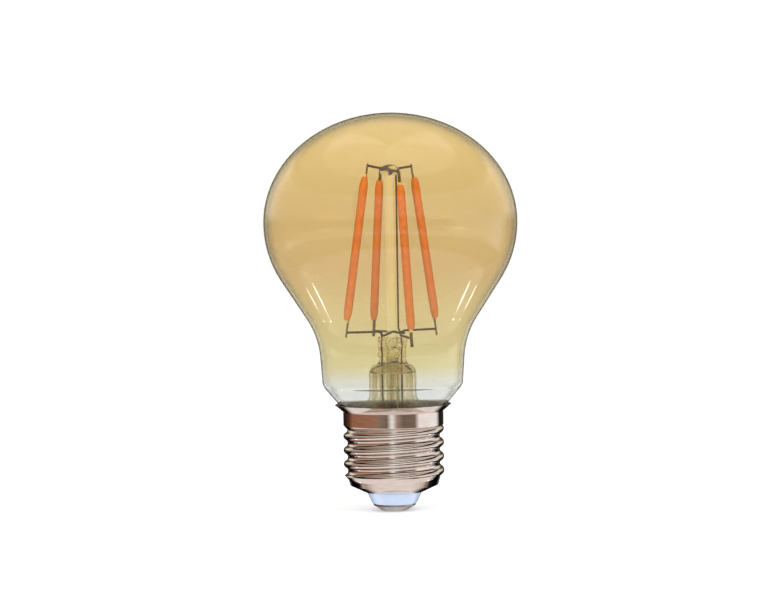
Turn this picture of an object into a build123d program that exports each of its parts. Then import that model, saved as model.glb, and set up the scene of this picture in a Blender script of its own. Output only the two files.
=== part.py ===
"""A smart filament lamp: a blown glass bulb on an E27 screw cap, with four LED filaments on a glass stem
and the driver and radio boards inside the cap.

Millimetres. The origin is the middle of the centre contact's lowest face, and +Z runs up the lamp's axis.
"""

import os
from math import acos, copysign, cos, radians, sin, sqrt, tan

from build123d import *

os.makedirs("parts", exist_ok=True)

# ---- Driving dimensions -------------------------------------------------------------------------------

# Bulb: an oblate crown, a round shoulder, a straight flank and a neck that shrinks into the cap
globe_radius = 33.05
crown_height = 28.45
shoulder_radius = 27.56
flank_angle = 33.0
waist_radius = 21.8
neck_angle = 3.9
neck_length = 6.3
corner_radius = 3.0
mouth_angle = 40.0
mouth_length = 7.3
seal_blend_radius = 4.0
seal_height = 1.4
glass_wall = 0.8
neck_gap = 0.75

# E27 knuckle thread, rolled in sheet, and the shell around it
thread_pitch = 3.629
thread_crest_radius = 13.15
thread_arc = 1.025
thread_run_out = 1.2
thread_start_drop = 0.3
thread_start_rise = 2.0
sheet = 0.3
floor_radius = 7.9
floor_z = 5.0
shoulder_z = 6.7
shoulder_edge_inset = 0.57
thread_bottom_z = 8.6
band_bottom_z = 22.4
band_height = 3.5
band_inset = 0.05
lip_height = 1.8
lip_flare = 2.1
cement_sink = 0.25
cement_lift = 0.3

# Insulator and centre contact
insulator_top_radius = 7.3
insulator_bottom_radius = 5.8
insulator_rim_fillet = 0.25
flange_inset = 1.0
contact_height = 1.9
contact_rim_radius = 5.5
contact_face_radius = 3.0
contact_sheet = 0.5
pin_radius = 0.9
pin_height = 8.4
pin_bore_depth = 1.5

# Stem
flare_radius = 6.15
flare_wall = 0.9
flare_bend_z = 30.5
flare_bend_radius = 2.0
flare_angle = 75.0
flare_tube_height = 5.5
pinch_height = 4.0
press_height = 5.5
press_width = 7.4
press_thickness = 3.4
press_cone_height = 2.2
press_cone_gap = 0.3
exhaust_radius = 1.6
exhaust_bore_radius = 0.9
exhaust_tip_z = 18.5
column_radius = 1.4
button_radius = 2.75
button_tip_radius = 0.6
button_height = 3.0
button_belt_height = 1.35
button_lower_bulge = 0.35
button_upper_bulge = 0.45
button_lift = 0.4

# Filaments, at even angles round the stem and leaning in towards the button
filament_count = 4
first_filament_angle = 202.65
filament_foot_radius = 12.5
filament_head_radius = 7.0
filament_lift = 3.3
filament_rise = 36.7
filament_drops = (0.0, 2.5, 0.0, 0.3)
coat_radius = 1.1
coat_end_radius = 0.72
coat_taper = 2.4
coat_taper_bulge = 0.08
strip_width = 0.9
strip_thickness = 0.4
strip_overhang = 0.8
chip_count = 26
chip_length = 0.75
chip_width = 0.4
chip_height = 0.18
tab_width = 0.75
tab_thickness = 0.25
head_tab_length = 3.6
foot_tab_length = 4.6

# Wires
lead_diameter = 0.6
lead_bend = 0.8
bridge_bend = 0.5
arm_bend = 1.5
riser_diameter = 0.45
seal_wire_diameter = 0.4
outer_lead_diameter = 0.5
outer_lead_spread = 1.4
outer_lead_bend = 3.0
outer_lead_straight = 3.0
outer_lead_slope = 7.0
lead_x = -2.7
riser_x = 2.4
wire_gap = 0.05
weld_lap = 0.02
arm_lift = 1.4
outer_top_wire_lift = 2.0
inner_top_wire_lift = 1.2
top_wire_bend = 1.0
top_wire_bend_share = 0.42
outer_top_wire_dip = 0.6
inner_top_wire_dip = -0.5

# Driver and radio
liner_gap = 0.37
liner_wall = 0.4
liner_bottom_z = 7.4
liner_top_drop = 1.2
ledge_height = 1.5
ledge_width = 0.6
board_gap = 1.2
board_thickness = 1.0
board_z = 13.0
leg_thickness = 0.25
leg_foot = 1.0
leg_rise = 0.5
leg_share = 0.35
package_chamfer = 0.27
radio_place = (0, 6.0)
radio_size = (8.0, 5.0)
radio_thickness = 0.8
shield_shift = (-0.9, 0.3)
shield_size = (5.4, 3.8)
shield_height = 1.5
shield_wall = 0.2
module_corner = 0.4
chip_part_size = (1.6, 0.8)
chip_part_height = 0.5
chip_part_pitch = 2.4
can_radius = 2.5
can_height = 4.3
can_place = (-4.4, -3.2)
can_groove_drop = 0.9
drum_radius = 2.5
drum_core_radius = 1.1
drum_height = 4.2
drum_flange = 0.6
drum_place = (4.4, -3.2)
winding_inset = 0.3
resistor_y = 5.4
resistor_drop = 1.6
resistor_span = 8.0
resistor_length = 4.8
resistor_radius = 0.95
end_fillet = 0.3
cable_diameter = 0.9
cable_gap = 0.05
fit_gap = 0.1


def outward(angle):
    """A unit vector in the outline's plane, pointing away from the axis and this far below level."""
    return Vector(cos(radians(angle)), -sin(radians(angle)))


def down(angle):
    """A unit vector down a wall that leans in by this angle from the vertical."""
    return Vector(-sin(radians(angle)), -cos(radians(angle)))


# ---- Sizes that follow from the driving dimensions ----------------------------------------------------

# Crest and root arcs are equal and meet at a tangent, which fixes how far in the roots lie.
arc_spacing = sqrt((2 * thread_arc) ** 2 - (thread_pitch / 2) ** 2)
crest_centre = thread_crest_radius - thread_arc
root_centre = crest_centre + arc_spacing
root_lap = 0.02
core_radius = root_centre - thread_arc + root_lap
shoulder_edge_radius = core_radius - shoulder_edge_inset
band_radius = thread_crest_radius - band_inset
band_top_z = band_bottom_z + band_height
lip_radius = band_radius + lip_flare
lip_top_z = band_top_z + lip_height

# The bulb's outline is worked up from its seal in the cap, so that every stretch meets the next at a
# tangent. The flank is as long as it takes to get from the waist to the shoulder.
seal_z = band_bottom_z
seal_radius = band_radius - sheet - neck_gap
to_flank = outward(flank_angle)
to_neck = outward(neck_angle)
to_mouth = outward(mouth_angle)
seal_centre = Vector(seal_radius + seal_blend_radius, seal_z + seal_height)
mouth_foot = seal_centre - to_mouth * seal_blend_radius
mouth_top = mouth_foot - down(mouth_angle) * mouth_length
corner_centre = mouth_top - to_mouth * corner_radius
neck_foot = corner_centre + to_neck * corner_radius
neck_top = neck_foot - down(neck_angle) * neck_length
waist_centre = neck_top + to_neck * waist_radius
flank_foot = waist_centre - to_flank * waist_radius
flank_run = globe_radius - shoulder_radius + to_flank.X * shoulder_radius - flank_foot.X
flank_top = flank_foot - down(flank_angle) * (flank_run / sin(radians(flank_angle)))
shoulder_centre = flank_top - to_flank * shoulder_radius
widest_z = shoulder_centre.Y
crown_z = widest_z + crown_height

# The stem stands on the flare, the filaments stand on the stem's wires, and the button tops them.
flare_top_z = flare_bend_z + flare_tube_height
press_bottom_z = flare_top_z + pinch_height
press_top_z = press_bottom_z + press_height
arm_z = press_top_z + arm_lift
filament_foot_z = arm_z + filament_lift
button_bottom_z = filament_foot_z + filament_rise + button_lift
outer_top_wire_z = button_bottom_z + outer_top_wire_lift
inner_top_wire_z = button_bottom_z + inner_top_wire_lift
weld_pitch = lead_diameter + weld_lap

# The liner fits inside the thread's roots, and the board sits on the liner's ledge.
liner_radius = core_radius - sheet - liner_gap
liner_bore_radius = liner_radius - liner_wall
liner_top_z = seal_z - liner_top_drop
board_radius = liner_bore_radius - board_gap
board_top_z = board_z + board_thickness
shield_z = board_top_z + radio_thickness


# ---- Shared geometry ----------------------------------------------------------------------------------


def bulb_outline(inset):
    """Draws the bulb's outline, this far inside its outer face, from the crown down to the seal."""
    side = globe_radius - inset
    top = crown_height - inset
    shoulder = shoulder_radius - inset
    waist = waist_radius + inset
    corner = corner_radius - inset
    blend = seal_blend_radius + inset
    # The crown is a quarter of an ellipse, which this curve follows to a few hundredths of a millimetre.
    handle = 0.5523
    Bezier(
        (side, widest_z),
        (side, widest_z + handle * top),
        (handle * side, widest_z + top),
        (0, widest_z + top),
    )
    CenterArc(shoulder_centre, shoulder, 0, -flank_angle)
    Line(shoulder_centre + to_flank * shoulder, waist_centre - to_flank * waist)
    CenterArc(waist_centre, waist, 180 - flank_angle, flank_angle - neck_angle)
    Line(waist_centre - to_neck * waist, corner_centre + to_neck * corner)
    CenterArc(corner_centre, corner, -neck_angle, neck_angle - mouth_angle)
    Line(corner_centre + to_mouth * corner, seal_centre - to_mouth * blend)
    CenterArc(seal_centre, blend, 180 - mouth_angle, mouth_angle)
    Line(seal_centre - Vector(blend, 0), (seal_radius - inset, seal_z))


def bend_wire(route, diameter, bend):
    """A round wire along straight runs that are joined by bends of one radius."""
    with BuildPart() as wire:
        with BuildLine() as line:
            FilletPolyline(*route, radius=bend)
        with BuildSketch(Plane(origin=line.line @ 0, z_dir=line.line % 0)):
            Circle(diameter / 2)
        sweep(path=line.line)
    return wire.part


def filament_seat(number):
    """The plane across a filament's foot: its normal runs up the filament and its +Y faces the stem."""
    turn = radians(first_filament_angle + number * 360 / filament_count)
    away = Vector(cos(turn), sin(turn), 0)
    foot = away * filament_foot_radius + Vector(0, 0, filament_foot_z - filament_drops[number])
    head = foot + away * (filament_head_radius - filament_foot_radius) + Vector(0, 0, filament_rise)
    return Plane(origin=foot, x_dir=Vector(-away.Y, away.X, 0), z_dir=head - foot)


filament_length = Vector(filament_head_radius - filament_foot_radius, filament_rise).length
tab_back = strip_thickness / 2 + tab_thickness


def on_tab(number, height):
    """The point on the stem side of a filament's tab at this height."""
    seat = filament_seat(number)
    start = seat.from_local_coords(Vector(0, tab_back, 0))
    return start + seat.z_dir * ((height - start.Z) / seat.z_dir.Z)


def weld_to_tab(wire, number):
    """A wire cut off flush with the stem side of a filament's tab."""
    seat = filament_seat(number)
    face = Plane(origin=seat.from_local_coords(Vector(0, tab_back, 0)), z_dir=seat.y_dir)
    return split(wire, bisect_by=face, keep=Keep.TOP)


def past_tab(number, height, start):
    """A point just beyond a tab on the way from start, for a wire that weld_to_tab will cut."""
    target = on_tab(number, height)
    return target + (target - start).normalized() * lead_diameter


# ---- Glass --------------------------------------------------------------------------------------------


def bulb_form(inset):
    """The solid that the bulb's outer face encloses, this far inside it."""
    with BuildPart() as form:
        with BuildSketch(Plane.XZ):
            with BuildLine():
                bulb_outline(inset)
                Polyline((seal_radius - inset, seal_z), (0, seal_z), (0, crown_z - inset))
            make_face()
        revolve(axis=Axis.Z)
    return form.part


with BuildPart() as glass_bulb:
    add(bulb_form(0))
    add(bulb_form(glass_wall), mode=Mode.SUBTRACT)
glass_bulb.part.label = "glass_bulb"
export_step(glass_bulb.part, "parts/glass_bulb.step")

# The flare's rim is fused to the neck's inner wall, and its tube stands open under the press.
rim_radius = seal_radius - glass_wall
rim_bore_radius = rim_radius - flare_wall
flare_bore_radius = flare_radius - flare_wall
flare_slope = radians(flare_angle)
bend_centre = Vector(flare_radius + flare_bend_radius, flare_bend_z)
to_slope = Vector(-cos(flare_slope), -sin(flare_slope))
flare_foot = bend_centre + to_slope * flare_bend_radius
bore_foot = bend_centre + to_slope * (flare_bend_radius + flare_wall)
rim_top_z = flare_foot.Y - (rim_radius - flare_foot.X) / tan(flare_slope)
rim_bore_z = bore_foot.Y - (rim_bore_radius - bore_foot.X) / tan(flare_slope)

with BuildPart() as stem_flare:
    with BuildSketch(Plane.XZ):
        with BuildLine():
            Line((flare_radius, flare_top_z), (flare_radius, flare_bend_z))
            CenterArc(bend_centre, flare_bend_radius, 180, flare_angle)
            Polyline(
                flare_foot,
                (rim_radius, rim_top_z),
                (rim_radius, seal_z),
                (rim_bore_radius, seal_z),
                (rim_bore_radius, rim_bore_z),
                bore_foot,
            )
            CenterArc(bend_centre, flare_bend_radius + flare_wall, 180, flare_angle)
            Polyline(
                (flare_bore_radius, flare_bend_z),
                (flare_bore_radius, flare_top_z),
                (flare_radius, flare_top_z),
            )
        make_face()
    revolve(axis=Axis.Z)
stem_flare.part.label = "stem_flare"
export_step(stem_flare.part, "parts/stem_flare.step")

with BuildPart() as stem_press:
    with BuildSketch(Plane.XY.offset(flare_top_z)):
        Circle(flare_radius)
    with BuildSketch(Plane.XY.offset(press_bottom_z)):
        Ellipse(press_width / 2, press_thickness / 2)
    loft()
    with BuildSketch(Plane.XY.offset(press_bottom_z)):
        Ellipse(press_width / 2, press_thickness / 2)
    extrude(amount=press_height)
    # The tube's bore closes to a blunt cone under the press.
    with Locations((0, 0, flare_top_z + press_cone_height / 2)):
        Cone(flare_bore_radius, exhaust_radius + press_cone_gap, press_cone_height, mode=Mode.SUBTRACT)
    # The exhaust tube and the two seal wires are fused in.
    with BuildSketch(Plane.XY.offset(flare_top_z)):
        Circle(exhaust_radius)
    extrude(amount=pinch_height, mode=Mode.SUBTRACT)
    with BuildSketch(Plane.XY.offset(flare_top_z)):
        with Locations((lead_x, 0), (riser_x, 0)):
            Circle(seal_wire_diameter / 2)
    extrude(amount=press_top_z - flare_top_z, mode=Mode.SUBTRACT)
stem_press.part.label = "stem_press"
export_step(stem_press.part, "parts/stem_press.step")

with BuildPart() as exhaust_tube:
    with BuildSketch(Plane.XZ):
        with BuildLine():
            tip_centre_z = exhaust_tip_z + exhaust_radius
            tube_wall = exhaust_radius - exhaust_bore_radius
            CenterArc((0, tip_centre_z), exhaust_radius, -90, 90)
            Line((exhaust_radius, tip_centre_z), (exhaust_radius, press_bottom_z))
            Line((exhaust_radius, press_bottom_z), (exhaust_bore_radius, press_bottom_z))
            Line((exhaust_bore_radius, press_bottom_z), (exhaust_bore_radius, tip_centre_z))
            CenterArc((0, tip_centre_z), exhaust_bore_radius, 0, -90)
            Line((0, exhaust_tip_z), (0, exhaust_tip_z + tube_wall))
        make_face()
    revolve(axis=Axis.Z)
exhaust_tube.part.label = "exhaust_tube"
export_step(exhaust_tube.part, "parts/exhaust_tube.step")

with BuildPart() as centre_column:
    with BuildSketch(Plane.XY.offset(press_top_z)):
        Circle(column_radius)
    extrude(amount=button_bottom_z - press_top_z)
centre_column.part.label = "centre_column"
export_step(centre_column.part, "parts/centre_column.step")

# ---- Wires above the press ----------------------------------------------------------------------------

lead_corner = Vector(lead_x, 0, arm_z)
lower_lead = weld_to_tab(
    bend_wire(
        [(lead_x, 0, press_top_z), lead_corner, past_tab(0, arm_z, lead_corner)],
        lead_diameter,
        lead_bend,
    ),
    0,
)
lower_lead.label = "lower_lead"
export_step(lower_lead, "parts/lower_lead.step")

# The bridge starts on the lower lead, passes in front of the column and goes on to the fourth filament.
bridge_front_y = -(column_radius + lead_diameter / 2 + 0.3)
bridge_turn = Vector(3.2, 0.3, arm_z + 0.25)
bridge_wire = weld_to_tab(
    bend_wire(
        [
            (lead_x, -weld_pitch, arm_z - 1.1),
            (lead_x + 0.9, bridge_front_y, arm_z - 0.9),
            (0.3, bridge_front_y, arm_z + 0.1),
            (2.1, bridge_front_y + 0.5, arm_z - 0.4),
            bridge_turn,
            past_tab(2, arm_z + 0.4, bridge_turn),
        ],
        lead_diameter,
        bridge_bend,
    ),
    2,
)
bridge_wire.label = "bridge_wire"
export_step(bridge_wire, "parts/bridge_wire.step")

front_arm_start = Vector(2.2, bridge_front_y + 0.3 - weld_pitch, arm_z - 0.9)
front_arm_bend = Vector(3.3, -6.0, arm_z - 1.2)
front_arm = weld_to_tab(
    bend_wire(
        [front_arm_start, front_arm_bend, past_tab(1, arm_z - 1.6, front_arm_bend)],
        lead_diameter,
        arm_bend,
    ),
    1,
)
front_arm.label = "front_arm"
export_step(front_arm, "parts/front_arm.step")

back_arm_start = Vector(3.3, 0.35, arm_z - 0.45)
back_arm_bend = Vector(-0.4, column_radius + 1.5, arm_z - 0.1)
back_arm = weld_to_tab(
    bend_wire([back_arm_start, back_arm_bend, past_tab(3, arm_z, back_arm_bend)], lead_diameter, arm_bend),
    3,
)
back_arm.label = "back_arm"
export_step(back_arm, "parts/back_arm.step")

riser_line_x = column_radius + wire_gap + riser_diameter / 2
riser_wire = bend_wire(
    [
        (riser_x, 0, press_top_z),
        (riser_x, 0, press_top_z + 0.8),
        (riser_line_x, 0, press_top_z + 2.2),
        (riser_line_x, 0, inner_top_wire_z - lead_diameter / 2 - wire_gap),
    ],
    riser_diameter,
    bridge_bend,
)
riser_wire.label = "riser_wire"
export_step(riser_wire, "parts/riser_wire.step")


def top_wire(first, second, height, dip):
    """A wire through the button that joins two opposite filaments, dipping a little on its way in."""
    middle_one = on_tab(first, height + dip) * top_wire_bend_share
    middle_two = on_tab(second, height + dip) * top_wire_bend_share
    middle_one.Z = height
    middle_two.Z = height
    route = [
        past_tab(first, height + dip, middle_one),
        middle_one,
        middle_two,
        past_tab(second, height + dip, middle_two),
    ]
    wire = bend_wire(route, lead_diameter, top_wire_bend)
    return weld_to_tab(weld_to_tab(wire, first), second)


outer_top_wire = top_wire(0, 2, outer_top_wire_z, outer_top_wire_dip)
outer_top_wire.label = "outer_top_wire"
export_step(outer_top_wire, "parts/outer_top_wire.step")

inner_top_wire = top_wire(1, 3, inner_top_wire_z, inner_top_wire_dip)
inner_top_wire.label = "inner_top_wire"
export_step(inner_top_wire, "parts/inner_top_wire.step")

with BuildPart() as top_button:
    with BuildSketch(Plane.XZ):
        with BuildLine():
            button_top_z = button_bottom_z + button_height
            belt = (button_radius, button_bottom_z + button_belt_height)
            Line((0, button_bottom_z), (column_radius, button_bottom_z))
            SagittaArc((column_radius, button_bottom_z), belt, -button_lower_bulge)
            SagittaArc(belt, (button_tip_radius, button_top_z), -button_upper_bulge)
            Line((button_tip_radius, button_top_z), (0, button_top_z))
            Line((0, button_top_z), (0, button_bottom_z))
        make_face()
    revolve(axis=Axis.Z)
    # The glass is melted round the two top wires and the riser's end.
    add(outer_top_wire, mode=Mode.SUBTRACT)
    add(inner_top_wire, mode=Mode.SUBTRACT)
    add(riser_wire, mode=Mode.SUBTRACT)
top_button.part.label = "top_button"
export_step(top_button.part, "parts/top_button.step")

# ---- Filaments ----------------------------------------------------------------------------------------

for number in range(filament_count):
    seat = filament_seat(number)
    name = f"filament_{number + 1}"

    with BuildPart() as strip:
        with BuildSketch(seat.offset(-strip_overhang)):
            Rectangle(strip_width, strip_thickness)
        extrude(amount=filament_length + 2 * strip_overhang)
    strip.part.label = f"{name}_strip"
    export_step(strip.part, f"parts/{name}_strip.step")

    chip_pitch = (filament_length - 2 * coat_taper) / (chip_count - 1)
    chip_face = Plane(
        origin=seat.from_local_coords(Vector(0, -strip_thickness / 2, filament_length / 2)),
        x_dir=seat.x_dir,
        z_dir=-seat.y_dir,
    )
    with BuildPart() as chips:
        with BuildSketch(chip_face):
            with GridLocations(1, chip_pitch, 1, chip_count):
                Rectangle(chip_width, chip_length)
        extrude(amount=chip_height)
    chips.part.label = f"{name}_chips"
    export_step(chips.part, f"parts/{name}_chips.step")

    with BuildPart() as coat:
        with BuildSketch(Plane(origin=seat.origin, x_dir=seat.x_dir, z_dir=-seat.y_dir)) as outline:
            with BuildLine():
                tip = filament_length
                Line((0, 0), (coat_end_radius, 0))
                SagittaArc((coat_end_radius, 0), (coat_radius, coat_taper), -coat_taper_bulge)
                Line((coat_radius, coat_taper), (coat_radius, tip - coat_taper))
                SagittaArc((coat_radius, tip - coat_taper), (coat_end_radius, tip), -coat_taper_bulge)
                Line((coat_end_radius, tip), (0, tip))
                Line((0, tip), (0, 0))
            make_face()
        revolve(axis=Axis(seat.origin, seat.z_dir))
        add(strip.part, mode=Mode.SUBTRACT)
        add(chips.part, mode=Mode.SUBTRACT)
    coat.part.label = f"{name}_coat"
    export_step(coat.part, f"parts/{name}_coat.step")

    with BuildPart() as foot_tab:
        with BuildSketch(seat.offset(-foot_tab_length)):
            with Locations((0, tab_back - tab_thickness / 2)):
                Rectangle(tab_width, tab_thickness)
        extrude(amount=foot_tab_length)
    foot_tab.part.label = f"{name}_foot_tab"
    export_step(foot_tab.part, f"parts/{name}_foot_tab.step")

    with BuildPart() as head_tab:
        with BuildSketch(seat.offset(filament_length)):
            with Locations((0, tab_back - tab_thickness / 2)):
                Rectangle(tab_width, tab_thickness)
        extrude(amount=head_tab_length)
    head_tab.part.label = f"{name}_head_tab"
    export_step(head_tab.part, f"parts/{name}_head_tab.step")

# ---- Seal wires and outer leads -----------------------------------------------------------------------

for side, wire_x in (("left", lead_x), ("right", riser_x)):
    with BuildPart() as seal_wire:
        with BuildSketch(Plane.XY.offset(flare_top_z)):
            with Locations((wire_x, 0)):
                Circle(seal_wire_diameter / 2)
        extrude(amount=press_top_z - flare_top_z)
    seal_wire.part.label = f"seal_wire_{side}"
    export_step(seal_wire.part, f"parts/seal_wire_{side}.step")

    spread_x = wire_x + copysign(outer_lead_spread, wire_x)
    bend_z = flare_bend_z - outer_lead_straight
    outer_lead = bend_wire(
        [
            (wire_x, 0, flare_top_z),
            (wire_x, 0, bend_z),
            (spread_x, 0, bend_z - outer_lead_slope),
            (spread_x, 0, board_top_z),
        ],
        outer_lead_diameter,
        outer_lead_bend,
    )
    outer_lead.label = f"outer_lead_{side}"
    export_step(outer_lead, f"parts/outer_lead_{side}.step")

# ---- Screw shell --------------------------------------------------------------------------------------


def thread_ridge(inset):
    """One long ridge of the thread, this far inside the shell's outer face, wound on its core."""
    crest_arc = thread_arc - inset
    root_arc = thread_arc + inset
    half = thread_pitch / 2
    core = core_radius - inset
    knee = Vector(crest_centre, 0) + Vector(arc_spacing, half) * (crest_arc / (2 * thread_arc))
    root_turn = acos((root_centre - core) / root_arc)
    knee_turn = acos((root_centre - knee.X) / root_arc)
    middle_turn = (root_turn + knee_turn) / 2
    root_end = Vector(core, half - root_arc * sin(root_turn))
    root_middle = Vector(root_centre - root_arc * cos(middle_turn), half - root_arc * sin(middle_turn))
    back = core - sheet / 2
    start = (0, 0, thread_bottom_z - half)
    with BuildPart() as ridge:
        with BuildLine() as rise:
            Helix(thread_pitch, band_bottom_z - thread_bottom_z + thread_pitch, core, center=start)
        with BuildSketch(Plane(origin=start, x_dir=(1, 0, 0), z_dir=(0, -1, 0))):
            with BuildLine():
                Line((back, -root_end.Y), (core, -root_end.Y))
                ThreePointArc((core, -root_end.Y), (root_middle.X, -root_middle.Y), (knee.X, -knee.Y))
                ThreePointArc((knee.X, -knee.Y), (crest_centre + crest_arc, 0), knee)
                ThreePointArc(knee, root_middle, root_end)
                Line(root_end, (back, root_end.Y))
                Line((back, root_end.Y), (back, -root_end.Y))
            make_face()
        sweep(path=rise.line, is_frenet=True)
        # The ridge starts from nothing above the shoulder and ends where the plain band begins.
        with BuildSketch(Plane.XZ):
            with BuildLine():
                reach = thread_crest_radius + thread_arc - inset
                Polyline(
                    (0, floor_z),
                    (shoulder_edge_radius - thread_arc - inset, floor_z),
                    (core - 2 * root_lap, thread_bottom_z - thread_start_drop),
                    (reach, thread_bottom_z + thread_start_rise),
                    (reach, band_bottom_z),
                    (0, band_bottom_z),
                    close=True,
                )
            make_face()
        revolve(axis=Axis.Z, mode=Mode.INTERSECT)
    return ridge.part


def shell_core(inset):
    """The cap's shoulder, thread core, plain band and lip as a solid form, this far inside its face.

    Its outline is turned from a quarter turn away from the thread's start, so that their edges never meet.
    """
    top = Vector(2 * lip_radius - band_radius, 2 * lip_top_z - band_top_z)
    with BuildPart() as core:
        with BuildSketch(Plane.YZ):
            with BuildLine():
                Polyline(
                    (0, floor_z),
                    (floor_radius, floor_z),
                    (shoulder_edge_radius, shoulder_z),
                    (core_radius, thread_bottom_z),
                    (core_radius, band_bottom_z - thread_run_out),
                    (band_radius, band_bottom_z),
                    (band_radius, band_top_z),
                    top,
                    (0, top.Y),
                    close=True,
                )
            make_face()
            if inset:
                offset(amount=-inset, kind=Kind.INTERSECTION)
                with Locations((inset / 2, (floor_z + top.Y) / 2)):
                    Rectangle(inset, top.Y - floor_z - 2 * inset)
        revolve(axis=Axis.Z)
    return core.part


def disc(radius, height, base_z, mode):
    """A round slab on the axis, for trimming."""
    with Locations((0, 0, base_z)):
        Cylinder(radius, height, align=(Align.CENTER, Align.CENTER, Align.MIN), mode=mode)


shell_cavity = shell_core(sheet)
hole_radius = insulator_top_radius + fit_gap
with BuildPart() as screw_shell:
    add(shell_core(0))
    add(thread_ridge(0))
    add(shell_cavity, mode=Mode.SUBTRACT)
    add(thread_ridge(sheet), mode=Mode.SUBTRACT)
    disc(2 * lip_radius, lip_radius, lip_top_z, Mode.SUBTRACT)
    disc(hole_radius, 2 * sheet, floor_z - sheet / 2, Mode.SUBTRACT)
screw_shell.part.label = "screw_shell"
export_step(screw_shell.part, "parts/screw_shell.step")

# Cement fills the space between the neck and the shell, from the seal up into the lip.
cement_bottom_z = seal_z + cement_lift
with BuildPart() as basing_cement:
    add(shell_cavity)
    disc(2 * lip_radius, lip_radius, lip_top_z - cement_sink, Mode.SUBTRACT)
    disc(2 * lip_radius, cement_bottom_z, 0, Mode.SUBTRACT)
    disc(seal_radius, lip_radius, cement_bottom_z, Mode.SUBTRACT)
    add(bulb_form(0), mode=Mode.SUBTRACT)
basing_cement.part.label = "basing_cement"
export_step(basing_cement.part, "parts/basing_cement.step")

# ---- Insulator and centre contact ---------------------------------------------------------------------

flange_radius = shoulder_edge_radius - flange_inset
flange_top_z = liner_bottom_z - fit_gap
shoulder_rise = (shoulder_z - floor_z) / (shoulder_edge_radius - floor_radius)
flange_floor_z = floor_z + sheet + fit_gap / 2
flange_edge_z = flange_floor_z + (flange_radius - floor_radius) * shoulder_rise
with BuildPart() as cap_insulator:
    with BuildSketch(Plane.XZ):
        with BuildLine():
            Polyline(
                (pin_radius, contact_height),
                (insulator_bottom_radius, contact_height),
                (insulator_top_radius, floor_z - fit_gap),
                (insulator_top_radius, flange_floor_z),
                (floor_radius, flange_floor_z),
                (flange_radius, flange_edge_z),
                (flange_radius, flange_top_z),
                (pin_radius, flange_top_z),
                close=True,
            )
        make_face()
    revolve(axis=Axis.Z)
    lowest_edges = cap_insulator.edges().filter_by(GeomType.CIRCLE).group_by(Axis.Z)[0]
    fillet(lowest_edges.sort_by(SortBy.RADIUS)[-1], insulator_rim_fillet)
cap_insulator.part.label = "cap_insulator"
export_step(cap_insulator.part, "parts/cap_insulator.step")

with BuildPart() as contact_plate:
    with BuildSketch(Plane.XZ):
        with BuildLine():
            dish_z = contact_height - contact_sheet
            Polyline(
                (pin_radius / 2, 0),
                (contact_face_radius, 0),
                (contact_rim_radius, dish_z),
                (contact_rim_radius, contact_height),
                (contact_rim_radius - contact_sheet, contact_height),
                (contact_face_radius - contact_sheet / 3, contact_sheet),
                (pin_radius / 2, contact_sheet),
                close=True,
            )
        make_face()
    revolve(axis=Axis.Z)
contact_plate.part.label = "contact_plate"
export_step(contact_plate.part, "parts/contact_plate.step")

with BuildPart() as contact_pin:
    disc(pin_radius, pin_height - contact_sheet, contact_sheet, Mode.ADD)
    disc(pin_radius / 2, contact_sheet / 2, contact_sheet / 2, Mode.ADD)
    disc(cable_diameter / 2, pin_bore_depth, pin_height - pin_bore_depth, Mode.SUBTRACT)
contact_pin.part.label = "contact_pin"
export_step(contact_pin.part, "parts/contact_pin.step")

# ---- Liner, driver and radio --------------------------------------------------------------------------

liner_floor_z = liner_bottom_z + liner_wall
under_ledge = board_z - ledge_height - liner_floor_z
with BuildPart() as liner:
    disc(liner_radius, liner_top_z - liner_bottom_z, liner_bottom_z, Mode.ADD)
    chamfer(liner.edges().group_by(Axis.Z)[0], liner_wall)
    disc(liner_bore_radius, liner_radius, board_z, Mode.SUBTRACT)
    disc(board_radius - ledge_width, ledge_height, board_z - ledge_height, Mode.SUBTRACT)
    disc(liner_bore_radius, under_ledge, liner_floor_z, Mode.SUBTRACT)
    disc(pin_radius + fit_gap, 2 * liner_wall, liner_bottom_z - liner_wall / 2, Mode.SUBTRACT)
liner.part.label = "liner_cup"
export_step(liner.part, "parts/liner_cup.step")

with BuildPart() as driver_board:
    disc(board_radius, board_thickness, board_z, Mode.ADD)
driver_board.part.label = "driver_board"
export_step(driver_board.part, "parts/driver_board.step")


def chip_package(centre, length, width, height, leg_count):
    """A moulded package with a row of gull-wing legs down each long side, flat on the board."""
    with BuildPart() as package:
        with BuildSketch(Plane(origin=(*centre, board_top_z + leg_thickness / 2))):
            Rectangle(length, width)
        extrude(amount=height)
        chamfer(package.edges().group_by(Axis.Z)[-1], package_chamfer)
        leg_pitch = length / leg_count
        leg_width = leg_pitch * leg_share
        with BuildSketch(Plane(origin=(*centre, board_top_z))):
            with GridLocations(leg_pitch, width + leg_foot + fit_gap, leg_count, 2):
                Rectangle(leg_width, leg_foot)
        extrude(amount=leg_thickness)
        with BuildSketch(Plane(origin=(*centre, board_top_z))):
            with GridLocations(leg_pitch, width + leg_rise - fit_gap, leg_count, 2):
                Rectangle(leg_width, leg_rise)
        extrude(amount=height / 2)
    return package.part


bridge_rectifier = chip_package((-5.0, -4.6), 4.0, 3.2, 1.6, 2)
bridge_rectifier.label = "bridge_rectifier"
export_step(bridge_rectifier, "parts/bridge_rectifier.step")

driver_chip = chip_package((4.2, -4.8), 4.6, 3.2, 1.4, 4)
driver_chip.label = "driver_chip"
export_step(driver_chip, "parts/driver_chip.step")

with BuildPart() as radio_board:
    with BuildSketch(Plane(origin=(*radio_place, board_top_z))):
        RectangleRounded(*radio_size, module_corner)
    extrude(amount=radio_thickness)
radio_board.part.label = "radio_board"
export_step(radio_board.part, "parts/radio_board.step")

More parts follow.
